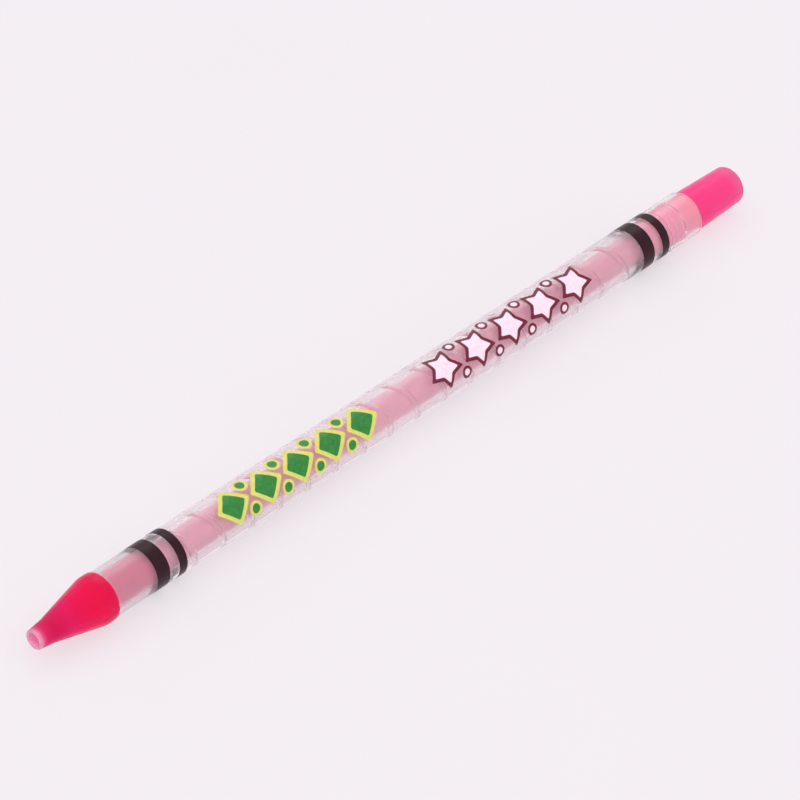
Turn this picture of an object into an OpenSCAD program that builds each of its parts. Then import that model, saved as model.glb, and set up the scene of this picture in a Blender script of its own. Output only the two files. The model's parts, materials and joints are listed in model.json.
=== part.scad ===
// Twist-up coloured pencil, lying on its side with the tip towards -X and the knob towards +X.
// The knob turns a slotted tube inside the clear barrel. Two pins on the lead carrier stand
// through the slots into a spiral groove in the barrel's bore, so each turn of the knob
// moves the carrier and its lead forward by one pitch.

/* [Barrel] */
// Outside diameter of the clear barrel
barrel_d = 8.5; // [7.9:0.1:10]
// Length of the clear barrel
barrel_len = 146.8; // [110:0.1:170]
// Diameter of the plain bore that the drive tube turns in
bore_d = 5.7; // [5.2:0.1:6.2]
// Step on the radius from the bore out to the front socket
socket_step = 0.35; // [0.25:0.05:0.5]
// Wall of the barrel around the knob's stem
rear_wall = 0.7; // [0.6:0.05:0.9]
// Rounding of the barrel's end edges
barrel_round = 0.4; // [0.1:0.05:0.5]

/* [Spiral groove] */
// Advance of the lead for one turn of the knob
thread_pitch = 6.8; // [5:0.1:9]
// Depth of the groove below the bore
groove_depth = 0.45; // [0.35:0.05:0.6]
// Plain bore left between each socket and the groove
thread_land = 1.5; // [0.5:0.1:4]

/* [Nose] */
// Length of the nose in front of the barrel
nose_len = 15.5; // [13:0.1:22]
// Step on the radius from the barrel out to the widest part of the nose
nose_lip = 0.2; // [0:0.05:0.4]
// Wall around the lead at the tip
tip_wall = 0.55; // [0.45:0.05:1]
// Rounding of the tip's edge
tip_round = 0.35; // [0.1:0.05:0.4]
// Length of the straight lead channel at the tip
tip_land = 3; // [1:0.1:5]
// Length of the slim tip in front of the cone
tip_len = 3.3; // [1.5:0.1:5]
// Widening of the radius along the slim tip
tip_taper = 0.4; // [0.2:0.05:0.6]
// Length of the straight rim between the cone and the barrel
rim_len = 1.5; // [1.2:0.1:4]
// Radius of the shoulder that blends the cone into the rim
shoulder_r = 5; // [2:0.5:8]
// Rounding of the rim's edge next to the barrel
rim_round = 0.6; // [0.2:0.05:0.7]
// Length of the spigot that is pressed into the barrel
spigot_len = 12; // [6:0.5:18]

/* [Twist knob] */
// Length of the knob behind the barrel
knob_len = 12.45; // [7:0.05:16]
// Step on the radius from the barrel down to the knob's front edge
knob_step = 0.35; // [0.2:0.05:0.6]
// Narrowing of the knob's radius from its front edge to its end
knob_taper = 0.35; // [0:0.05:0.6]
// Rounding of the knob's end edge
knob_round = 0.9; // [0.3:0.1:1.2]
// Thickness of the knob's end wall
knob_wall = 1.6; // [0.8:0.1:3]
// Length of the stem that turns inside the barrel
stem_len = 13; // [11:0.5:20]
// Height of each snap bead above the stem
bead_h = 0.25; // [0.2:0.05:0.35]
// Number of snap beads on the stem
bead_count = 3; // [1:1:3]
// Distance between snap beads
bead_pitch = 1.5; // [1:0.1:2]
// Distance from the barrel's rear end to the nearest snap bead
bead_setback = 4.5; // [2:0.1:5]

/* [Drive tube] */
// Wall of the slotted drive tube
tube_wall = 0.55; // [0.4:0.05:0.7]
// Depth that the drive tube sits in the knob
tube_seat = 11.5; // [8:0.5:13]

/* [Lead] */
// Diameter of the coloured lead
lead_d = 2.2; // [1.6:0.1:2.6]
// Distance from the tip back to the end of the wound-in lead
lead_recess = 2.2; // [0.5:0.1:6]
// Diameter of the lead's blunt point
point_d = 1.2; // [0.6:0.1:1.5]
// Length of the lead's tapered point
point_len = 1.6; // [0.5:0.1:3]

/* [Lead carrier] */
// Length of the carrier
carrier_len = 10; // [8:0.5:14]
// Depth that the lead sits in the carrier
lead_seat = 6; // [4:0.5:7]
// Diameter of the carrier's guide pins
pin_d = 1; // [0.8:0.05:1.2]
// Distance from the carrier's front to the first guide pin
pin_setback = 4; // [2:0.1:4.5]
// Turn of the guide pins and slots about the axis while the lead is wound in
pin_turn = -45; // [-90:5:90]

/* [Printed rings] */
// Thickness of the ink
ink_t = 0.03; // [0.02:0.01:0.06]
// Width of the broad ring
broad_ring_w = 2.9; // [2:0.1:7]
// Width of the fine ring behind it
fine_ring_w = 1.8; // [0.5:0.1:2]
// Bare barrel between the two rings
ring_gap = 2.2; // [0.3:0.1:3]
// Distance from the barrel's front end to the front pair of rings
front_ring_setback = 8.8; // [3:0.1:20]
// Distance from the barrel's rear end to the rear pair of rings
rear_ring_setback = 9.1; // [3:0.1:20]

/* [Clearances] */
// Gap on the radius between the bore and the drive tube
bore_gap = 0.3; // [0.2:0.05:0.4]
// Gap on the radius between the nose's spigot and the drive tube
bearing_gap = 0.1; // [0.05:0.01:0.15]
// Gap on the radius between the knob's stem and beads and the barrel
stem_gap = 0.15; // [0.1:0.01:0.2]
// Gap between the knob's front edge and the barrel's end
knob_gap = 0.25; // [0.15:0.05:0.5]
// Gap around the carrier and around its guide pins
slide_gap = 0.15; // [0.1:0.01:0.2]
// Gap around the lead in the nose
lead_gap = 0.15; // [0.1:0.01:0.3]
// Gap on the radius between parts that are pressed together
press_gap = 0.02; // [0.01:0.01:0.04]
// Gap along the axis at the end of each socket, slot and recess
end_gap = 0.3; // [0.2:0.05:0.5]

/* [Hidden] */
$fn = 96;
arc_steps = 8;
groove_steps = 16;
cut_over = 1;

barrel_r = barrel_d / 2;
bore_r = bore_d / 2;
socket_r = bore_r + socket_step;
rear_socket_r = barrel_r - rear_wall;
groove_r = bore_r + groove_depth;
tube_r = bore_r - bore_gap;
tube_bore_r = tube_r - tube_wall;
carrier_r = tube_bore_r - slide_gap;
lead_r = lead_d / 2;
channel_r = lead_r + lead_gap;
tip_r = channel_r + tip_wall;
nose_r = barrel_r + nose_lip;
spigot_r = socket_r - press_gap;
bearing_r = tube_r + bearing_gap;
stem_r = rear_socket_r - stem_gap;
bead_r = stem_r + bead_h;
recess_r = bead_r + stem_gap;
seat_r = tube_r + press_gap;
knob_front_r = barrel_r - knob_step;
knob_end_r = knob_front_r - knob_taper;
knob_edge = 0.25;
chamfer = 0.2;
pin_r = groove_r - slide_gap;
pin_root_r = (lead_r + press_gap + carrier_r) / 2;
slot_w = pin_d + 2 * slide_gap;
groove_w = pin_d + 2 * slide_gap;

barrel_z0 = nose_len;
barrel_z1 = barrel_z0 + barrel_len;
knob_z0 = barrel_z1 + knob_gap;
knob_z1 = knob_z0 + knob_len;
stem_z0 = barrel_z1 - stem_len;
front_socket_z = barrel_z0 + spigot_len + end_gap;
rear_socket_z = stem_z0 - end_gap;
tube_z0 = barrel_z0 + end_gap;
tube_z1 = stem_z0 + tube_seat;
bearing_z0 = barrel_z0 - end_gap;
last_bead_z = barrel_z1 - bead_setback;
first_bead_z = last_bead_z - bead_pitch * (bead_count - 1);

groove_z0 = front_socket_z + thread_land;
groove_z1 = rear_socket_z - thread_land;
groove_margin = pin_d;
pin_z_far = groove_z1 - groove_margin;
pin_z_near = pin_z_far - thread_pitch / 2;
pin_z_stop = groove_z0 + groove_margin;
travel = pin_z_near - pin_z_stop;
carrier_z0 = pin_z_near - pin_setback;
lead_z1 = carrier_z0 + lead_seat;
slot_z0 = pin_z_stop - pin_d / 2 - end_gap;
slot_z1 = pin_z_far + pin_d / 2 + end_gap;

front_broad_z = barrel_z0 + front_ring_setback;
front_fine_z = front_broad_z + broad_ring_w + ring_gap;
rear_fine_z = barrel_z1 - rear_ring_setback - fine_ring_w;
rear_broad_z = rear_fine_z - ring_gap - broad_ring_w;

overall_len = knob_z1;
axis_h = max(barrel_r + ink_t, nose_r);

cone_r = tip_r + tip_taper;
tip_angle = atan2(tip_taper, tip_len);
shoulder_z = nose_len - rim_len;
shoulder_off = [nose_r - shoulder_r - cone_r, shoulder_z - tip_len];
cone_angle = atan2(shoulder_off[0], shoulder_off[1]) + asin(shoulder_r / norm(shoulder_off));

echo(overall_len = overall_len, travel = travel, turns = travel / thread_pitch);

// Points of an arc in the radius and length plane, from angle a0 to a1
function arc(r, z, radius, a0, a1) = [for (i = [0 : arc_steps])
  let (a = a0 + (a1 - a0) * i / arc_steps) [r + radius * cos(a), z + radius * sin(a)]];

// Section of the spiral groove at one step; it passes through the near guide pin
function groove_section(z) = let (a = pin_turn + 360 * (z - pin_z_near) / thread_pitch)
  [for (c = [[tube_r, -1], [groove_r, -1], [groove_r, 1], [tube_r, 1]])
    [c[0] * cos(a), c[0] * sin(a), z + c[1] * groove_w / 2]];

// Lays the pencil along X, with its length starting at the tip
module lay() {
  translate([-overall_len / 2, 0, axis_h])
    rotate([0, 90, 0])
      children();
}

module turned(profile) {
  rotate_extrude()
    polygon(profile);
}

module spiral_groove() {
  count = ceil((groove_z1 - groove_z0) / thread_pitch * groove_steps);
  step = (groove_z1 - groove_z0) / count;
  points = [for (i = [0 : count]) each groove_section(groove_z0 + i * step)];
  walls = [for (i = [0 : count - 1], k = [0 : 3])
    let (a = 4 * i + k, b = 4 * i + (k + 1) % 4)
    each [[a, b, b + 4], [a, b + 4, a + 4]]];
  first = [3, 2, 1, 0];
  last = [for (k = [0 : 3]) 4 * count + k];
  polyhedron(points, concat([first], walls, [last]));
}

module printed_ring(z, width) {
  color([0.11, 0.05, 0.08])
    lay()
      translate([0, 0, z])
        difference() {
          cylinder(r = barrel_r + ink_t, h = width);
          translate([0, 0, -cut_over])
            cylinder(r = barrel_r, h = width + 2 * cut_over);
        }
}

// Clear moulded tube with a socket at each end and the spiral groove between them
module barrel() {
  color([0.95, 0.93, 0.95, 0.35])
    lay()
      difference() {
        turned(concat(
          [[0, barrel_z0]],
          arc(barrel_r - barrel_round, barrel_z0 + barrel_round, barrel_round, -90, 0),
          arc(barrel_r - barrel_round, barrel_z1 - barrel_round, barrel_round, 0, 90),
          [[0, barrel_z1]]));
        translate([0, 0, barrel_z0 - cut_over])
          cylinder(r = bore_r, h = barrel_len + 2 * cut_over);
        translate([0, 0, barrel_z0 - cut_over])
          cylinder(r = socket_r, h = front_socket_z - barrel_z0 + cut_over);
        translate([0, 0, rear_socket_z])
          cylinder(r = rear_socket_r, h = barrel_z1 - rear_socket_z + cut_over);
        translate([0, 0, first_bead_z - bead_h - stem_gap])
          cylinder(r = recess_r, h = last_bead_z - first_bead_z + 2 * (bead_h + stem_gap));
        spiral_groove();
      }
}

// Hollow cone with a slim tip that guides the lead; its spigot is pressed into the barrel
module nose_cone() {
  spigot_z1 = barrel_z0 + spigot_len;
  color([0.9, 0.12, 0.33, 0.9])
    lay()
      turned(concat(
        [[channel_r, 0]],
        arc(tip_r + tip_round * (tan(tip_angle) - 1 / cos(tip_angle)), tip_round,
          tip_round, -90, -tip_angle),
        [[cone_r, tip_len]],
        arc(nose_r - shoulder_r, shoulder_z, shoulder_r, -cone_angle, 0),
        arc(nose_r - rim_round, nose_len - rim_round, rim_round, 0, 90),
        [[spigot_r, nose_len],
          [spigot_r, spigot_z1 - chamfer],
          [spigot_r - chamfer, spigot_z1],
          [bearing_r, spigot_z1],
          [bearing_r, bearing_z0],
          [channel_r, tip_land]]));
}

// Coloured lead with a blunt point
module lead() {
  color([0.82, 0.09, 0.3])
    lay()
      turned([[0, lead_recess],
        [point_d / 2, lead_recess],
        [lead_r, lead_recess + point_len],
        [lead_r, lead_z1],
        [0, lead_z1]]);
}

module guide_pin(angle, z) {
  rotate([0, 0, angle])
    translate([pin_root_r, 0, z])
      rotate([0, 90, 0])
        cylinder(d = pin_d, h = pin_r - pin_root_r);
}

// Holder gripping the end of the lead; its two pins stand half a pitch apart
module lead_carrier() {
  color([0.95, 0.93, 0.93])
    lay()
      difference() {
        union() {
          translate([0, 0, carrier_z0])
            cylinder(r = carrier_r, h = carrier_len);
          guide_pin(pin_turn, pin_z_near);
          guide_pin(pin_turn + 180, pin_z_far);
        }
        translate([0, 0, carrier_z0 - cut_over])
          cylinder(r = lead_r + press_gap, h = lead_seat + press_gap + cut_over);
      }
}

// Milky tube with two long slots, turned by the knob
module drive_tube() {
  color([0.93, 0.78, 0.84, 0.85])
    lay()
      difference() {
        translate([0, 0, tube_z0])
          cylinder(r = tube_r, h = tube_z1 - press_gap - tube_z0);
        translate([0, 0, tube_z0 - cut_over])
          cylinder(r = tube_bore_r, h = tube_z1 - tube_z0 + 2 * cut_over);
        rotate([0, 0, pin_turn])
          translate([-tube_r - cut_over, -slot_w / 2, slot_z0])
            cube([2 * (tube_r + cut_over), slot_w, slot_z1 - slot_z0]);
      }
}

// Tapered twist knob with a hollow stem; the stem's beads snap into the barrel's recess
module twist_knob() {
  cavity_z1 = knob_z1 - knob_wall;
  color([0.98, 0.3, 0.53, 0.9])
    lay()
      turned(concat(
        [[seat_r, stem_z0],
          [stem_r - chamfer, stem_z0],
          [stem_r, stem_z0 + chamfer]],
        [for (i = [0 : bead_count - 1])
          each arc(stem_r, first_bead_z + i * bead_pitch, bead_h, -90, 90)],
        [[stem_r, knob_z0]],
        arc(knob_front_r - knob_edge, knob_z0 + knob_edge, knob_edge, -90, 0),
        arc(knob_end_r - knob_round, knob_z1 - knob_round, knob_round, 0, 90),
        [[0, knob_z1],
          [0, cavity_z1],
          [tube_bore_r, cavity_z1],
          [tube_bore_r, tube_z1],
          [seat_r, tube_z1]]));
}

module front_broad_ring() {
  printed_ring(front_broad_z, broad_ring_w);
}

module front_fine_ring() {
  printed_ring(front_fine_z, fine_ring_w);
}

module rear_broad_ring() {
  printed_ring(rear_broad_z, broad_ring_w);
}

module rear_fine_ring() {
  printed_ring(rear_fine_z, fine_ring_w);
}

barrel();
nose_cone();
lead();
lead_carrier();
drive_tube();
twist_knob();
front_broad_ring();
front_fine_ring();
rear_broad_ring();
rear_fine_ring();
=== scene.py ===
# %% [markdown]
# # A twist-up coloured pencil
# The real object is a clear plastic tube with a hot-pink nose and a hot-pink twist knob.
# Inside it a milky tube carries the lead forward when the knob is turned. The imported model
# gives every part its true place; this script dresses those parts so that they look like
# moulded plastic, wax and printed ink under soft studio light.

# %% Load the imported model
import json
import math

import bmesh
import bpy
from mathutils import Matrix, Vector


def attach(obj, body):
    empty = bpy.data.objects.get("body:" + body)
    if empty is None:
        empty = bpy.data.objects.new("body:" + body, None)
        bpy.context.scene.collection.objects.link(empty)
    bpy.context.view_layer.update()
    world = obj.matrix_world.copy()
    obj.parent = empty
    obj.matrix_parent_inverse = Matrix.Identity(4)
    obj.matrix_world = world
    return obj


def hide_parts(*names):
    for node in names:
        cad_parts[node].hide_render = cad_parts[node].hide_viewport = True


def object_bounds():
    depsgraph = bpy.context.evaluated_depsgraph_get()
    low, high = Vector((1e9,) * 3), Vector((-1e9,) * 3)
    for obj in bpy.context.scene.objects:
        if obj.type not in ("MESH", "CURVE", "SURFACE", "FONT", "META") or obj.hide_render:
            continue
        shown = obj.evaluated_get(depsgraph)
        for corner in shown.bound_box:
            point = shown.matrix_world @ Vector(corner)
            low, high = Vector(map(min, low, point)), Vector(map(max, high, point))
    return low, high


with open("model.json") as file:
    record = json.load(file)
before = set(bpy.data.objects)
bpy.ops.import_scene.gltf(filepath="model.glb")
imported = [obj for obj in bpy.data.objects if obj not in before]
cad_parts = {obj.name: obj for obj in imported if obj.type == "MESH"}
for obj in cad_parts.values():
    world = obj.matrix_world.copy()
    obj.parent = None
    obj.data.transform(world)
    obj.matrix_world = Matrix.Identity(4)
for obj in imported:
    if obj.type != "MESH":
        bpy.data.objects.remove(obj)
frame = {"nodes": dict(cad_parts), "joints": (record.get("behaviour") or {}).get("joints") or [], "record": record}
cad_low, cad_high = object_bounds()
print("CAD box in mm:", [round(1000 * v, 2) for v in (*cad_low, *cad_high)])

# %% [markdown]
# ## Sizes
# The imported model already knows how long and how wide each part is, so those sizes are
# measured from it and not written a second time. All lengths are in millimetres, as on a
# drawing, and turned to metres where they are used. Along the pencil, a place is given by its
# distance from the tip; across it, by its distance from the axis that the knob turns on.

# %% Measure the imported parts
MM = 0.001
LENGTH = round((cad_high.x - cad_low.x) / MM, 3)
twist = next(j for j in frame["joints"] if j["name"] == "knob_twist")
AXIS_HEIGHT = twist["pos_m"][2]


def measure(node):
    """Where a part starts and ends, and its least and greatest distance from the axis."""
    points = [v.co for v in frame["nodes"][node].data.vertices]
    along = [(p.x - cad_low.x) / MM for p in points]
    off = [math.hypot(p.y, p.z - AXIS_HEIGHT) / MM for p in points]
    return [round(v, 3) for v in (min(along), max(along), min(off), max(off))]


BARREL_FROM, BARREL_TO, BORE_R, BARREL_R = measure("barrel")
NOSE_FROM, SPIGOT_TO, CHANNEL_R, NOSE_REACH = measure("nose_cone")
STEM_FROM, KNOB_TO, _, KNOB_FRONT_R = measure("twist_knob")
TUBE_FROM, TUBE_TO, TUBE_BORE_R, TUBE_R = measure("drive_tube")
LEAD_FROM, LEAD_TO, _, LEAD_R = measure("lead")
CARRIER_FROM = measure("lead_carrier")[0]
print("length", LENGTH, "barrel radius", BARREL_R, "axis height", AXIS_HEIGHT / MM)

# %% [markdown]
# ## Turning a part on a lathe
# Nearly every part of a pencil is round, so it can be made as on a lathe: draw half of its
# section, then spin that outline round the axis. A modelled cylinder with booleans would
# also do, but the spin gives even quads, and even quads bend light cleanly in clear plastic.
# Corners are drawn sharp and rounded afterwards with a bevel, as a mould maker would.

# %% Lathe helpers
SIDES = 128
CLOSE, WELD = 1e-6, 1e-7


def at(along, radius):
    """The point at this distance from the tip and from the axis, straight above the axis."""
    return Vector((along * MM - LENGTH * MM / 2, 0, AXIS_HEIGHT + radius * MM))


def round_off(bm, along, radius, rounding):
    """Bevels the ring of edges that one corner of an outline became."""
    corner, axis = at(along, radius), at(along, 0)

    def on_ring(v):
        off = math.hypot(v.co.y, v.co.z - axis.z)
        return abs(v.co.x - corner.x) < CLOSE and abs(off - radius * MM) < CLOSE

    ring = [e for e in bm.edges if on_ring(e.verts[0]) and on_ring(e.verts[1])]
    bmesh.ops.bevel(bm, geom=ring, offset=rounding * MM, offset_type="OFFSET", affect="EDGES",
                    segments=4 + int(6 * rounding), profile=0.5, material=-1)


def turn(outline):
    """Spins a closed outline round the axis. A corner is (distance, radius), with a third
    number where the mould rounds it."""
    bm = bmesh.new()
    corners = [bm.verts.new(at(*c[:2])) for c in outline]
    edges = [bm.edges.new(ends) for ends in zip(corners, corners[1:] + corners[:1])]
    bmesh.ops.spin(bm, geom=corners + edges, cent=at(0, 0), axis=(1, 0, 0),
                   angle=2 * math.pi, steps=SIDES, use_merge=True)
    bmesh.ops.remove_doubles(bm, verts=bm.verts, dist=WELD)
    bmesh.ops.dissolve_degenerate(bm, edges=bm.edges, dist=WELD / 10)
    for rounded in (c for c in outline if len(c) == 3):
        round_off(bm, *rounded)
    bmesh.ops.recalc_face_normals(bm, faces=bm.faces)
    return bm


# %% [markdown]
# ## From mesh to finished piece
# Each mesh becomes an object at the origin, smooth except at its true corners. Weighted
# normals keep the long walls straight beside their small bevels; plain smoothing would tilt
# them, and clear plastic would show that as false bends.

# %% Piece helpers
CORNER_ANGLE = math.radians(35)


def solid(name, bm):
    """Makes the bmesh an object at the origin."""
    mesh = bpy.data.meshes.new(name)
    bm.to_mesh(mesh)
    bm.free()
    made = bpy.data.objects.new(name, mesh)
    bpy.context.scene.collection.objects.link(made)
    return made


def piece(made, materials, body, node=None):
    """Finishes an object and lets it ride on its body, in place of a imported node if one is
    named."""
    mesh = made.data
    mesh.polygons.foreach_set("use_smooth", [True] * len(mesh.polygons))
    mesh.set_sharp_from_angle(angle=CORNER_ANGLE)
    made.modifiers.new("even_normals", "WEIGHTED_NORMAL").keep_sharp = True
    for m in materials:
        mesh.materials.append(m)
    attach(made, body)
    if node:
        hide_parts(node)
    print(f"{made.name}: {len(mesh.polygons)} faces on {body}")


# %% [markdown]
# ## Building materials from nodes
# Each finish is a Principled BSDF with a few pattern nodes in front of it. One helper adds a
# node with its settings and links, and one function turns a colour as it is written on a
# paint chart into the linear light that the renderer adds up.

# %% Material helpers
def to_linear(hex_colour):
    """#RRGGBB to the linear values that shader sockets expect."""
    parts = [int(hex_colour[i:i + 2], 16) / 255 for i in (1, 3, 5)]
    return [p / 12.92 if p <= 0.04045 else ((p + 0.055) / 1.055) ** 2.4 for p in parts] + [1]


def add(tree, kind, inputs=(), stops=(), **settings):
    """Adds a node; an input given as (node, output) is linked, any other is set.
    stops are the (position, colour) pairs of a colour ramp."""
    node = tree.nodes.new(kind)
    for i, (position, colour) in enumerate(stops):
        ramp = node.color_ramp.elements
        stop = ramp[i] if i < len(ramp) else ramp.new(position)
        stop.position, stop.color = position, to_linear(colour)
    for key, value in settings.items():
        setattr(node, key, value)
    for key, value in dict(inputs).items():
        if isinstance(value, tuple) and isinstance(value[0], bpy.types.Node):
            tree.links.new(value[0].outputs[value[1]], node.inputs[key])
        else:
            node.inputs[key].default_value = value
    return node


def new_finish(name):
    """An empty material with its output node and an Object coordinate."""
    material = bpy.data.materials.new(name)
    material.use_nodes = True
    tree = material.node_tree
    tree.nodes.clear()
    output = add(tree, "ShaderNodeOutputMaterial")
    place = add(tree, "ShaderNodeTexCoord")
    return material, tree, output, place


def off_axis(tree, place):
    """The distance from the pencil's axis in metres, as a node's Value."""
    across = add(tree, "ShaderNodeVectorMath",
                 {0: (place, "Object"), 1: (0, 1, 1), 2: (0, 0, -AXIS_HEIGHT)},
                 operation="MULTIPLY_ADD")
    return add(tree, "ShaderNodeVectorMath", {0: (across, "Vector")}, operation="LENGTH")


def let_lamps_through(tree, shader, output, tint):
    """Clear plastic is bent light to the eye, but lamps shine straight through it with a tint,
    so that what is inside is lit as brightly as it is in life."""
    path = add(tree, "ShaderNodeLightPath")
    straight = add(tree, "ShaderNodeBsdfTransparent", {"Color": to_linear(tint)})
    mix = add(tree, "ShaderNodeMixShader",
              {0: (path, "Is Shadow Ray"), 1: (shader, 0), 2: (straight, 0)})
    tree.links.new(mix.outputs[0], output.inputs["Surface"])


# %% [markdown]
# ## Clear polystyrene for the barrel
# The barrel is injection-moulded clear polystyrene. The mould polishes its outside, where
# handling leaves hair-fine scuffs along its length, so the roughness follows a noise that is
# stretched along the pencil. The core that forms the bore and the spiral is only machined, so
# the inside is a little matt and blurs what is behind it. The knob's socket is wider than that
# and polished, so the snap beads show in it. A coat gives the outside the gloss of polystyrene,
# while a lower index below it keeps the wall free of black trapped rays.

# %% Clear barrel finish
SCUFF_WIDTH, SCUFF_STRETCH = 0.9, 0.06
MATT_R, POLISHED_R = 3.4, 3.5


def clear_polystyrene():
    material, tree, output, place = new_finish("clear_polystyrene_moulded")
    along = add(tree, "ShaderNodeMapping",
                {"Vector": (place, "Object"), "Scale": (SCUFF_STRETCH, 1, 1)})
    scuff = add(tree, "ShaderNodeTexNoise",
                {"Vector": (along, "Vector"), "Scale": 1 / (SCUFF_WIDTH * MM), "Detail": 4.0})
    polish = add(tree, "ShaderNodeMapRange",
                 {"Value": (scuff, "Fac"), "From Min": 0.35, "From Max": 0.75,
                  "To Min": 0.03, "To Max": 0.08})
    matt = add(tree, "ShaderNodeMapRange",
               {"Value": (off_axis(tree, place), "Value"), "From Min": MATT_R * MM,
                "From Max": POLISHED_R * MM, "To Min": 0.3, "To Max": 0.0})
    rough = add(tree, "ShaderNodeMath", {0: (polish, "Result"), 1: (matt, "Result")})
    bump = add(tree, "ShaderNodeBump",
               {"Height": (scuff, "Fac"), "Strength": 0.04, "Distance": 0.01 * MM})
    shader = add(tree, "ShaderNodeBsdfPrincipled",
                 {"Base Color": to_linear("#FDF4F7"), "Roughness": (rough, "Value"),
                  "IOR": 1.25, "Transmission Weight": 0.92, "Coat Weight": 0.28,
                  "Coat IOR": 1.59, "Coat Roughness": 0.15, "Normal": (bump, "Normal")})
    let_lamps_through(tree, shader, output, "#FEF6F9")
    return material


CLEAR = clear_polystyrene()
print("made", CLEAR.name)

# %% [markdown]
# ## Dyed translucent plastic for the nose and the knob
# Both ends are moulded in pink plastic that lets light in but scatters it, so they glow rather
# than shade. The colour follows the place along the pencil and has the light that shines through
# the plastic painted into it: where the plastic is thin, at the tip and in the parts inside the
# barrel, it is painted pale, as if lit through; the shoulder and the cap are deep pink, and the
# cap's very end is paler and greyer again. Part of the light goes straight through and shows the
# lead as a darker streak. Inside a given radius round the channel that guides the lead, the colour
# is taken from nearer the tip, a painted light that lifts the shade in the channel. A fine noise
# stands for the orange-peel of the mould.

# %% Dyed translucent finish
PEEL_WIDTH = 0.6
# Painted light in the lead's channel: how far out from the channel it reaches, how softly it fades and how far
# nearer the tip its colour is taken from.
PAINTED_LIGHT_DEPTH, PAINTED_LIGHT_BLEND, PAINTED_LIGHT_SHIFT = 0.05, 0.15, 2.2


def dyed_plastic(name, depths, clear, tint, painted_light_r=None):
    """depths lists (distance from the tip in mm, colour there, painted pale where thin plastic is lit
    through), clear is the share of light that goes straight through, and tint colours the lamps
    that do. Inside the radius given last, if one is given, the paler colour nearer the tip is
    painted on as light that lifts the shade in the lead's channel."""
    material, tree, output, place = new_finish(name)
    first, last = depths[0][0], depths[-1][0]
    along = (add(tree, "ShaderNodeSeparateXYZ", {0: (place, "Object")}), "X")
    # Painted light: inside the channel, colour from nearer the tip, which is painted pale, lifts the shade in the
    # channel.
    if painted_light_r:
        paler = add(tree, "ShaderNodeMapRange",
                    {"Value": (off_axis(tree, place), "Value"), "From Min": painted_light_r * MM,
                     "From Max": (painted_light_r + PAINTED_LIGHT_BLEND) * MM,
                     "To Min": -PAINTED_LIGHT_SHIFT * MM, "To Max": 0.0})
        along = (add(tree, "ShaderNodeMath", {0: along, 1: (paler, "Result")}), "Value")
    share = add(tree, "ShaderNodeMapRange",
                {"Value": along, "From Min": at(first, 0).x, "From Max": at(last, 0).x})
    colour = add(tree, "ShaderNodeValToRGB", {"Fac": (share, "Result")},
                 stops=[((s - first) / (last - first), shade) for s, shade in depths])
    peel = add(tree, "ShaderNodeTexNoise",
               {"Vector": (place, "Object"), "Scale": 1 / (PEEL_WIDTH * MM), "Detail": 3.0})
    rough = add(tree, "ShaderNodeMapRange",
                {"Value": (peel, "Fac"), "From Min": 0.3, "From Max": 0.7,
                 "To Min": 0.16, "To Max": 0.24})
    bump = add(tree, "ShaderNodeBump",
               {"Height": (peel, "Fac"), "Strength": 0.05, "Distance": 0.02 * MM})
    shader = add(tree, "ShaderNodeBsdfPrincipled",
                 {"Base Color": (colour, "Color"), "Roughness": (rough, "Result"), "IOR": 1.3,
                  "Specular IOR Level": 0.14, "Transmission Weight": clear,
                  "Subsurface Weight": 1.0, "Subsurface Radius": (1.0, 0.3, 0.5),
                  "Subsurface Scale": 1.5 * MM, "Normal": (bump, "Normal")})
    let_lamps_through(tree, shader, output, tint)
    return material


# The pale stops at the tip and inside the barrel are painted light shining through thin plastic; the channel takes
# painted light as well.
NOSE_PINK = dyed_plastic("pink_dyed_polystyrene_nose", [
    (0.0, "#FFC8DC"), (0.3, "#FDB0CC"), (0.8, "#E8609A"), (1.4, "#E22470"), (3.0, "#E2146A"),
    (6.0, "#EE1C7A"), (8.5, "#F4126C"), (11.0, "#F80F62"), (BARREL_FROM - 0.3, "#FA0F62"),
    (BARREL_FROM + 0.3, "#DA5E91"), (SPIGOT_TO, "#DA5E91")],
    clear=0.5, tint="#FEE6EE", painted_light_r=CHANNEL_R + PAINTED_LIGHT_DEPTH)
# The pale stops on the stem inside the barrel are painted light shining through its thin wall; the cap's very end
# is paler and greyer.
KNOB_PINK = dyed_plastic("pink_dyed_polystyrene_knob", [
    (STEM_FROM, "#F79DBA"), (BARREL_TO - 4.3, "#F79DBC"), (BARREL_TO - 0.1, "#F285A2"),
    (BARREL_TO + 0.5, "#FC4C94"), (KNOB_TO - 3.5, "#FE5098"), (KNOB_TO, "#E87AA5")],
    clear=0.3, tint="#FEECF2")
print("made", NOSE_PINK.name, "and", KNOB_PINK.name)

# %% [markdown]
# ## Milky plastic for the drive tube
# The inner tube is uncoloured polypropylene, which is milky by nature. With the pink lead
# behind it, it shows as a pale pink core in the barrel, so that pink is mixed into its own
# colour. It is drawn through a die, which leaves faint streaks along its length.

# %% Milky tube finish
STREAK_WIDTH, STREAK_STRETCH = 1.2, 0.08


def milky_polypropylene():
    material, tree, output, place = new_finish("milky_polypropylene_extruded")
    along = add(tree, "ShaderNodeMapping",
                {"Vector": (place, "Object"), "Scale": (STREAK_STRETCH, 1, 1)})
    streak = add(tree, "ShaderNodeTexNoise",
                 {"Vector": (along, "Vector"), "Scale": 1 / (STREAK_WIDTH * MM), "Detail": 3.0})
    colour = add(tree, "ShaderNodeValToRGB", {"Fac": (streak, "Fac")},
                 stops=[(0.3, "#C68398"), (0.7, "#CE90A4")])
    shader = add(tree, "ShaderNodeBsdfPrincipled",
                 {"Base Color": (colour, "Color"), "Roughness": 0.45, "IOR": 1.49,
                  "Specular IOR Level": 0.25, "Subsurface Weight": 0.5,
                  "Subsurface Radius": (1.0, 0.6, 0.7), "Subsurface Scale": 1.0 * MM})
    let_lamps_through(tree, shader, output, "#FBE6ED")
    return material


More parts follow.
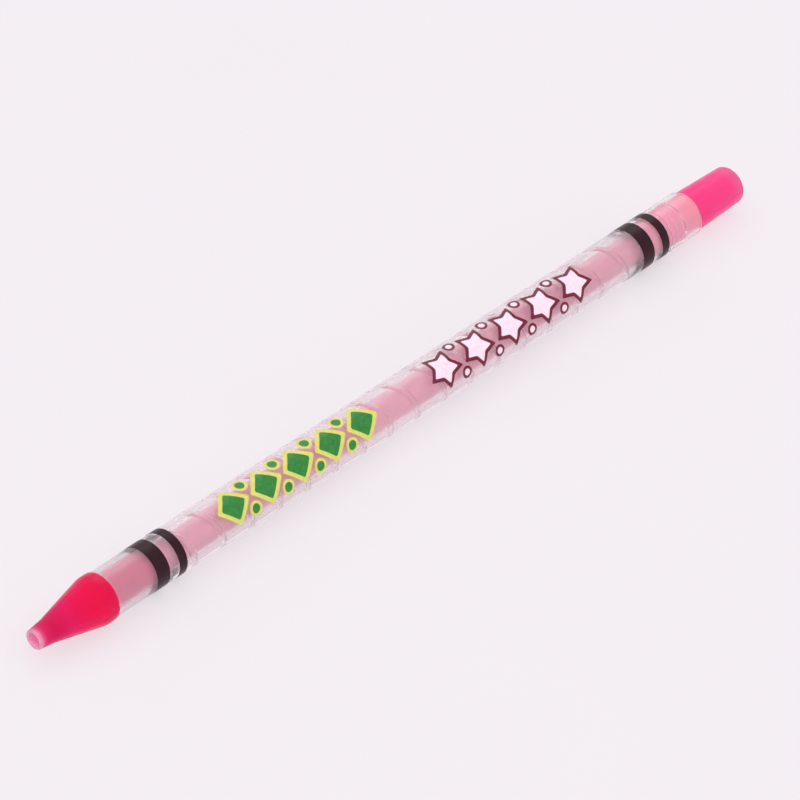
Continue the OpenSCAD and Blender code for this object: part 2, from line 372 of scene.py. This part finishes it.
MILKY = milky_polypropylene()
print("made", MILKY.name)

# %% [markdown]
# ## Waxy lead, white carrier and printing inks
# The lead is pigmented wax: full colour, a soft sheen and fine grains of filler. The carrier
# is plain white moulded plastic. The inks are screen-printed, so they are smooth and nearly
# opaque, with a slight cloudiness where the film is thinner. All of them are one colour with a
# fine grain, so one function makes them.

# %% Lead, carrier and ink finishes
INK_CLOUD, INK_ROUGH = 0.6, 0.3


def grained(name, light, deep, grain, roughness, gloss=0.5, tint=None):
    """grain is the grain's width in mm and gloss the specular level; tint, if it is given, is
    what lamps take on when they shine through the film."""
    material, tree, output, place = new_finish(name)
    noise = add(tree, "ShaderNodeTexNoise",
                {"Vector": (place, "Object"), "Scale": 1 / (grain * MM), "Detail": 4.0})
    colour = add(tree, "ShaderNodeValToRGB", {"Fac": (noise, "Fac")},
                 stops=[(0.3, deep), (0.7, light)])
    bump = add(tree, "ShaderNodeBump",
               {"Height": (noise, "Fac"), "Strength": 0.15, "Distance": 0.02 * MM})
    shader = add(tree, "ShaderNodeBsdfPrincipled",
                 {"Base Color": (colour, "Color"), "Roughness": roughness,
                  "Specular IOR Level": gloss, "Normal": (bump, "Normal")})
    if tint:
        let_lamps_through(tree, shader, output, tint)
    else:
        tree.links.new(shader.outputs[0], output.inputs["Surface"])
    return material


def ink(colour, light, deep, gloss=0.3, tint=None):
    """Screen-printing ink, called by its colour."""
    return grained(f"{colour}_ink_printed", light, deep, INK_CLOUD, INK_ROUGH, gloss, tint)


WAX = grained("pink_wax_lead_extruded", "#D4145C", "#B80C4C", grain=0.35, roughness=0.45)
WHITE = grained("white_plastic_moulded", "#F6F2F3", "#ECE6E9", grain=0.8, roughness=0.4)
BLACK_INK = ink("black", "#34161F", "#280F18", gloss=0.15)
GREEN_INK = ink("green", "#328B3C", "#287531", tint="#D8F0DC")
YELLOW_INK = ink("yellow", "#DEDC74", "#D2CF62", tint="#FBFADC")
PALE_INK = ink("pale_pink", "#FBE6F1", "#F5D8E8", tint="#FBF0F6")
MAROON_INK = ink("maroon", "#7A1838", "#65102C", tint="#F0D8E0")
print("made", WAX.name, WHITE.name, BLACK_INK.name, "and four coloured inks")

# %% [markdown]
# ## The clear barrel
# The barrel is a thick tube: a wider socket at each end takes the nose and the knob, a
# recess holds the knob's snap beads, and the bore between carries the spiral groove.
# The open end is well rounded, but the end that butts against the nose is nearly sharp, so
# that no dark notch shows between them. The outline is turned first, then the groove is cut.

# %% Turn the barrel
SOCKET_STEP, REAR_WALL = 0.35, 0.7
END_GAP, STEM_GAP = 0.3, 0.15
SOCKET_R, SOCKET_TO = BORE_R + SOCKET_STEP, SPIGOT_TO + END_GAP
REAR_SOCKET_R, REAR_SOCKET_FROM = BARREL_R - REAR_WALL, STEM_FROM - END_GAP
STEM_R = REAR_SOCKET_R - STEM_GAP
BEAD_H, BEAD_PITCH, LAST_BEAD = 0.25, 1.5, BARREL_TO - 4.5
BEADS = [LAST_BEAD - BEAD_PITCH * i for i in (2, 1, 0)]
RECESS_R, RECESS_ROOM = STEM_R + BEAD_H + STEM_GAP, 0.4
RECESS_FROM, RECESS_TO = BEADS[0] - RECESS_ROOM, BEADS[-1] + RECESS_ROOM
END_ROUND, LIP_ROUND = 0.4, 0.08

barrel = solid("clear_barrel", turn([
    (BARREL_FROM, BARREL_R, LIP_ROUND), (BARREL_TO, BARREL_R, END_ROUND),
    (BARREL_TO, REAR_SOCKET_R, LIP_ROUND), (RECESS_TO, REAR_SOCKET_R), (RECESS_TO, RECESS_R),
    (RECESS_FROM, RECESS_R), (RECESS_FROM, REAR_SOCKET_R), (REAR_SOCKET_FROM, REAR_SOCKET_R),
    (REAR_SOCKET_FROM, BORE_R), (SOCKET_TO, BORE_R), (SOCKET_TO, SOCKET_R),
    (BARREL_FROM, SOCKET_R, LIP_ROUND)]))
print("barrel turned from", BARREL_FROM, "to", BARREL_TO)

# %% [markdown]
# ## The spiral groove
# A spin that also moves along the axis at every step sweeps a small trough into a spiral.
# That spiral is then taken away from the barrel with a boolean, as the moulding core is
# unscrewed from the real one. The trough's lips and root are eased, because a sharp groove
# would show as hard dark lines in clear plastic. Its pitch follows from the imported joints,
# which say how far the knob turns for each metre that the lead moves.

# %% Cut the groove
PITCH = 2 * math.pi / frame["record"]["behaviour"]["couplings"][0]["ratio"] / MM
LAND, GROOVE_DEPTH, GROOVE_W = 1.5, 0.45, 1.3
GROOVE_FROM, GROOVE_TO = SOCKET_TO + LAND, REAR_SOCKET_FROM - LAND
GROOVE_R = BORE_R + GROOVE_DEPTH
PIN_SETBACK, PIN_TURN = 4.0, math.radians(-45)
PIN_AT = CARRIER_FROM + PIN_SETBACK
STEPS_PER_TURN = 48


def cut_away(target, bm):
    """Takes a closed bmesh out of a piece and keeps the piece's name."""
    cutter = solid("cutter", bm)
    cut = target.modifiers.new("cut", "BOOLEAN")
    cut.operation, cut.solver, cut.object = "DIFFERENCE", "EXACT", cutter
    ready = target.evaluated_get(bpy.context.evaluated_depsgraph_get())
    result = bpy.data.meshes.new_from_object(ready)
    target.modifiers.remove(cut)
    result.name = target.name
    target.data = result
    bpy.data.objects.remove(cutter)


def spiral():
    """A rounded bar swept along the groove; it passes through the carrier's near pin. Its
    section is listed from the widened lip below the bore to the narrowed root."""
    turns = (GROOVE_TO - GROOVE_FROM) / PITCH
    start = PIN_TURN + 2 * math.pi * (GROOVE_FROM - PIN_AT) / PITCH
    steps = round(turns * STEPS_PER_TURN)
    half = GROOVE_W / 2
    side = [(half + 0.2, TUBE_R), (half + 0.1, BORE_R + 0.02), (half, BORE_R + 0.14),
            (half - 0.08, GROOVE_R - 0.15), (half - 0.28, GROOVE_R)]
    trough = side + [(-s, r) for s, r in reversed(side)]
    bm = bmesh.new()
    verts = [bm.verts.new(at(GROOVE_FROM + s, -r)) for s, r in trough]
    edges = [bm.edges.new(ends) for ends in zip(verts, verts[1:] + verts[:1])]
    bmesh.ops.rotate(bm, verts=verts, cent=at(0, 0), matrix=Matrix.Rotation(start, 3, "X"))
    bmesh.ops.contextual_create(bm, geom=verts)
    swept = bmesh.ops.spin(bm, geom=verts + edges, cent=at(0, 0), axis=(1, 0, 0),
                           angle=2 * math.pi * turns, steps=steps,
                           dvec=((GROOVE_TO - GROOVE_FROM) * MM / steps, 0, 0))
    last = [v for v in swept["geom_last"] if isinstance(v, bmesh.types.BMVert)]
    bmesh.ops.contextual_create(bm, geom=last)
    bmesh.ops.recalc_face_normals(bm, faces=bm.faces)
    return bm


cut_away(barrel, spiral())
piece(barrel, [CLEAR], "barrel_assembly", "barrel")

# %% [markdown]
# ## The nose cone
# A hollow cone with a slim tip, a rim a little wider than the barrel, and a long spigot inside
# the barrel. The shoulder between cone and rim is an arc, made as one wide bevel, so its corner
# is placed where the two straight walls would meet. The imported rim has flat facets, and the
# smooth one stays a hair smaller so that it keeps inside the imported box.

# %% Turn the nose
FACET_SAG, FIT_GAP, BEARING_GAP = 0.005, 0.02, 0.1
NOSE_R = NOSE_REACH - FACET_SAG
TIP_WALL, TIP_FLARE, TIP_TO, CHANNEL_TO = 0.55, 0.4, 3.3, 3.0
TIP_R = CHANNEL_R + TIP_WALL
CONE_R = TIP_R + TIP_FLARE
RIM_LEN, RIM_AT = 1.5, BARREL_FROM - FIT_GAP
SPIGOT_R = SOCKET_R - FIT_GAP
BEARING_R, BEARING_FROM = TUBE_R + BEARING_GAP, BARREL_FROM - END_GAP
SHOULDER_ROUND, SHOULDER_END = 5.0, BARREL_FROM - RIM_LEN
MOUTH_ROUND, TIP_ROUND, NECK_ROUND, RIM_ROUND, SPIGOT_ROUND = 0.12, 0.35, 0.3, 0.35, 0.2

rise, run = NOSE_R - SHOULDER_ROUND - CONE_R, SHOULDER_END - TIP_TO
cone_angle = math.atan2(rise, run) + math.asin(SHOULDER_ROUND / math.hypot(rise, run))
blend = SHOULDER_ROUND * math.tan(cone_angle / 2)
nose = solid("nose_cone_moulding", turn([
    (NOSE_FROM, CHANNEL_R, MOUTH_ROUND), (NOSE_FROM, TIP_R, TIP_ROUND),
    (TIP_TO, CONE_R, NECK_ROUND), (SHOULDER_END - blend, NOSE_R, blend),
    (RIM_AT, NOSE_R, RIM_ROUND), (RIM_AT, SPIGOT_R), (SPIGOT_TO, SPIGOT_R, SPIGOT_ROUND),
    (SPIGOT_TO, BEARING_R), (BEARING_FROM, BEARING_R), (CHANNEL_TO, CHANNEL_R)]))
piece(nose, [NOSE_PINK], "barrel_assembly", "nose_cone")

# %% [markdown]
# ## The twist knob
# A short tapered cap with a rounded end. Its hollow stem runs into the barrel, where three
# snap beads show as fine rings through the clear wall.

# %% Turn the knob
KNOB_GAP, KNOB_TAPER, END_WALL = 0.25, 0.35, 1.6
KNOB_FROM, KNOB_END_R = BARREL_TO + KNOB_GAP, KNOB_FRONT_R - KNOB_TAPER
SEAT_R, SEAT_TO = TUBE_R + FIT_GAP, TUBE_TO + FIT_GAP
CAVITY_TO = KNOB_TO - END_WALL
STEM_ROUND, BEAD_ROUND, FRONT_ROUND, CAP_ROUND = 0.2, 0.1, 0.25, 0.9
bead_corners = [c for b in BEADS for c in ((b - BEAD_H, STEM_R),
                                           (b, STEM_R + BEAD_H, BEAD_ROUND),
                                           (b + BEAD_H, STEM_R))]
knob = solid("twist_knob_moulding", turn([
    (STEM_FROM, SEAT_R), (STEM_FROM, STEM_R, STEM_ROUND), *bead_corners,
    (KNOB_FROM, STEM_R), (KNOB_FROM, KNOB_FRONT_R, FRONT_ROUND),
    (KNOB_TO, KNOB_END_R, CAP_ROUND), (KNOB_TO, 0), (CAVITY_TO, 0),
    (CAVITY_TO, TUBE_BORE_R), (SEAT_TO, TUBE_BORE_R), (SEAT_TO, SEAT_R)]))
piece(knob, [KNOB_PINK], "knob_assembly", "twist_knob")

# %% [markdown]
# ## The drive tube, the lead and the carrier
# The tube is turned, then two long slots are cut through it with one rounded bar. The lead is
# a rod with a blunt point, as it is when it has been wound in. The carrier at its end is small
# and plain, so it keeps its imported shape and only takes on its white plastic.

# %% Make the tube and the lead
TUBE_ROUND = 0.12
tube = solid("milky_drive_tube", turn([
    (TUBE_FROM, TUBE_R, TUBE_ROUND), (TUBE_TO, TUBE_R, TUBE_ROUND), (TUBE_TO, TUBE_BORE_R),
    (TUBE_FROM, TUBE_BORE_R)]))

SLOT_W, SLOT_INSET, SLOT_ROUND = 1.3, 0.2, 0.3
SLOT_FROM, SLOT_TO = GROOVE_FROM + SLOT_INSET, GROOVE_TO - SLOT_INSET
bar = bmesh.new()
bmesh.ops.create_cube(bar, size=1)
bmesh.ops.scale(bar, verts=bar.verts,
                vec=((SLOT_TO - SLOT_FROM) * MM, SLOT_W * MM, 2 * BARREL_R * MM))
upright = [e for e in bar.edges if abs(e.verts[0].co.z - e.verts[1].co.z) > MM]
bmesh.ops.bevel(bar, geom=upright, offset=SLOT_ROUND * MM, offset_type="OFFSET", affect="EDGES",
                segments=4, profile=0.5, material=-1)
bmesh.ops.rotate(bar, verts=bar.verts, cent=(0, 0, 0), matrix=Matrix.Rotation(PIN_TURN, 3, "X"))
bmesh.ops.translate(bar, verts=bar.verts, vec=at((SLOT_FROM + SLOT_TO) / 2, 0))
cut_away(tube, bar)
piece(tube, [MILKY], "knob_assembly", "drive_tube")

POINT_R, POINT_LEN, POINT_ROUND, LEAD_ROUND = 0.6, 1.6, 0.2, 0.3
lead = solid("wax_lead", turn([
    (LEAD_FROM, 0), (LEAD_FROM, POINT_R, POINT_ROUND),
    (LEAD_FROM + POINT_LEN, LEAD_R, LEAD_ROUND), (LEAD_TO, LEAD_R), (LEAD_TO, 0)]))
piece(lead, [WAX], "lead_assembly", "lead")

carrier = frame["nodes"]["lead_carrier"]
carrier.data.materials.clear()
carrier.data.materials.append(WHITE)
print("the carrier keeps its packed shape")

# %% [markdown]
# ## The printed rings
# A broad and a fine black ring are printed round each end of the barrel. Each is a film of ink
# that lies a hair above the plastic, so that the clear wall still mirrors light under it.

# %% Make the printed rings
LIFT = 0.002
for node in ("front_broad_ring", "front_fine_ring", "rear_broad_ring", "rear_fine_ring"):
    start, end, under, over = measure(node)
    film = turn([(start, under + LIFT), (start, over - LIFT),
                 (end, over - LIFT), (end, under + LIFT)])
    piece(solid(f"{node}_ink", film), [BLACK_INK], "barrel_assembly", node)

# %% [markdown]
# ## The printed marks
# Between the rings the barrel carries plain decoration: green dots and lozenges edged in
# yellow, then pale stars edged in maroon. As in screen printing, a larger mark in the edging
# ink goes on first and a smaller one in the main ink on top of it. Each mark is drawn flat,
# sliced into narrow strips and wrapped round the barrel, so that it follows the curve.

# %% Draw flat marks
LOZENGE_CORNER, STAR_CORNER, STAR_WAIST = 0.35, 0.25, 0.58


def dot(across, sides=32):
    """A flat disc; with few sides it is the start of the other marks."""
    bm = bmesh.new()
    bmesh.ops.create_circle(bm, cap_ends=True, segments=sides, radius=across / 2)
    return bm


def soften(bm, corner):
    """Rounds the corners of a flat mark, as ink rounds them on a screen print."""
    bmesh.ops.bevel(bm, geom=bm.verts[:], offset=corner, offset_type="OFFSET",
                    affect="VERTICES", segments=5, profile=0.5, material=-1)
    return bm


def lozenge(across):
    """A disc with four sides."""
    return soften(dot(across, 4), LOZENGE_CORNER)


def star(across):
    """A disc with ten sides, with every second corner pulled in to the waist."""
    bm = dot(across, 10)
    bmesh.ops.scale(bm, verts=list(bm.verts)[::2], vec=(STAR_WAIST, STAR_WAIST, 1))
    return soften(bm, STAR_CORNER)


# %% Wrap a mark round the barrel
FILM = 0.012
FACING = math.radians(36)
STRIP, SNAP = 0.3, 0.01


def on_barrel(bm, along, layer, side=0):
    """Wraps a flat mark round the barrel as the first or second film of ink, layer 0 or 1.
    side moves it round the barrel, off the row's middle line."""
    for f in bm.faces:
        f.material_index = layer
    bmesh.ops.triangulate(bm, faces=bm.faces[:])
    reach = int(max(abs(v.co.y) for v in bm.verts) / STRIP)
    for i in range(-reach - 1, reach + 1):
        bmesh.ops.bisect_plane(bm, geom=bm.verts[:] + bm.edges[:] + bm.faces[:], dist=SNAP,
                               plane_co=(0, (i + 0.5) * STRIP, 0), plane_no=(0, 1, 0))
    skin = bmesh.ops.extrude_face_region(bm, geom=bm.faces[:], use_keep_orig=True)
    top = {v for v in skin["geom"] if isinstance(v, bmesh.types.BMVert)}
    under = BARREL_R + LIFT + layer * FILM
    over = under + FILM - LIFT / 2
    for v in bm.verts:
        angle = (v.co.y + side) / BARREL_R - FACING
        out = Vector((0, math.sin(angle), math.cos(angle)))
        v.co = at(along + v.co.x, 0) + out * (over if v in top else under) * MM
    bmesh.ops.recalc_face_normals(bm, faces=bm.faces)
    return bm


# %% Print the two rows
MARKS = 5


def print_row(name, mark, start, pitch, sizes, dot_side, inks):
    """Prints a row of marks with two dots in each gap. start is the first mark's distance from
    the tip and pitch the step to the next. sizes gives the widths of mark and dot in the edging
    ink and then in the main ink; dot_side is how far the dots lie off the row."""
    whole = bmesh.new()
    for layer, (mark_size, dot_size) in enumerate(sizes):
        films = [on_barrel(mark(mark_size), start + pitch * i, layer) for i in range(MARKS)]
        films += [on_barrel(dot(dot_size), start + pitch * (i + 0.5), layer, side)
                  for i in range(MARKS - 1) for side in (-dot_side, dot_side)]
        for film in films:
            mesh = bpy.data.meshes.new("film")
            film.to_mesh(mesh)
            film.free()
            whole.from_mesh(mesh)
            bpy.data.meshes.remove(mesh)
    piece(solid(name, whole), inks, "barrel_assembly")


print_row("green_row_ink", lozenge, start=44.0, pitch=7.8, sizes=((7.5, 2.7), (5.4, 1.7)),
          dot_side=2.5, inks=[YELLOW_INK, GREEN_INK])
print_row("pale_row_ink", star, start=95.8, pitch=8.4, sizes=((8.2, 2.2), (5.9, 1.2)),
          dot_side=2.9, inks=[MAROON_INK, PALE_INK])

# %% [markdown]
# ## Floor, light and camera
# Product photos of small clear things are often taken on a board that is lit from below, so
# the floor glows a little by itself: shadows stay faint and the lower wall of the barrel stays
# bright. A large softbox in front gives the main light, one behind draws the long soft
# highlight along the top, and an even sky fills the rest. The camera looks from the tip's side,
# about thirty-six degrees down, from far away, so lines stay nearly parallel.

# %% Floor
FLOOR_HALF = 6
GLOW, BOARD_SHADE, CLOUD_WIDTH = 0.64, 0.32, 60


def lit_board():
    material, tree, output, place = new_finish("pale_board_lit_from_below")
    cloud = add(tree, "ShaderNodeTexNoise",
                {"Vector": (place, "Object"), "Scale": 1 / (CLOUD_WIDTH * MM), "Detail": 2.0})
    tint = add(tree, "ShaderNodeValToRGB", {"Fac": (cloud, "Fac")},
               stops=[(0.0, "#F3EEF2"), (1.0, "#F6F1F5")])
    shade = add(tree, "ShaderNodeVectorMath", {0: (tint, "Color"), 1: (BOARD_SHADE,) * 3},
                operation="MULTIPLY")
    shader = add(tree, "ShaderNodeBsdfPrincipled",
                 {"Base Color": (shade, "Vector"), "Roughness": 0.9, "Specular IOR Level": 0.1,
                  "Emission Color": (tint, "Color"), "Emission Strength": GLOW})
    tree.links.new(shader.outputs[0], output.inputs["Surface"])
    return material


board = bmesh.new()
bmesh.ops.create_grid(board, x_segments=1, y_segments=1, size=FLOOR_HALF)
floor = solid("floor", board)
floor.data.materials.append(lit_board())
print("floor", 2 * FLOOR_HALF, "m across")

# %% Lights
SKY = 0.9


def softbox(name, place, width, depth, watts):
    """A white rectangular light that points at the pencil."""
    light = bpy.data.lights.new(name, "AREA")
    light.shape, light.size, light.size_y = "RECTANGLE", width, depth
    light.energy = watts
    lamp = bpy.data.objects.new(name, light)
    lamp.location = place
    lamp.rotation_euler = (-Vector(place)).to_track_quat("-Z", "Y").to_euler()
    bpy.context.scene.collection.objects.link(lamp)
    print(name, watts, "W")


softbox("back_softbox", (0.6, 0.38, 0.72), width=0.6, depth=0.5, watts=1.1)
softbox("front_softbox", (-0.6, -0.7, 1.0), width=0.8, depth=0.8, watts=4.9)
world = bpy.data.worlds.new("studio")
world.use_nodes = True
sky = world.node_tree.nodes["Background"]
sky.inputs["Color"].default_value = to_linear("#FBF8FB")
sky.inputs["Strength"].default_value = SKY
bpy.context.scene.world = world
bpy.context.scene.view_settings.view_transform = "Standard"

# %% Camera
AZIMUTH, ELEVATION = math.radians(-48.0), math.radians(36.2)
DISTANCE, LENS, SENSOR = 1.0, 267, 36
back = Vector((math.sin(AZIMUTH) * math.cos(ELEVATION),
               -math.cos(AZIMUTH) * math.cos(ELEVATION), math.sin(ELEVATION)))
camera_data = bpy.data.cameras.new("camera")
camera_data.lens, camera_data.sensor_width = LENS, SENSOR
camera_data.clip_start, camera_data.clip_end = 0.05, 50
camera = bpy.data.objects.new("camera", camera_data)
camera.location = Vector((0, 0, AXIS_HEIGHT)) + back * DISTANCE
camera.rotation_euler = (-back).to_track_quat("-Z", "Y").to_euler()
bpy.context.scene.collection.objects.link(camera)
bpy.context.scene.camera = camera
print("camera at", [round(v, 3) for v in camera.location])
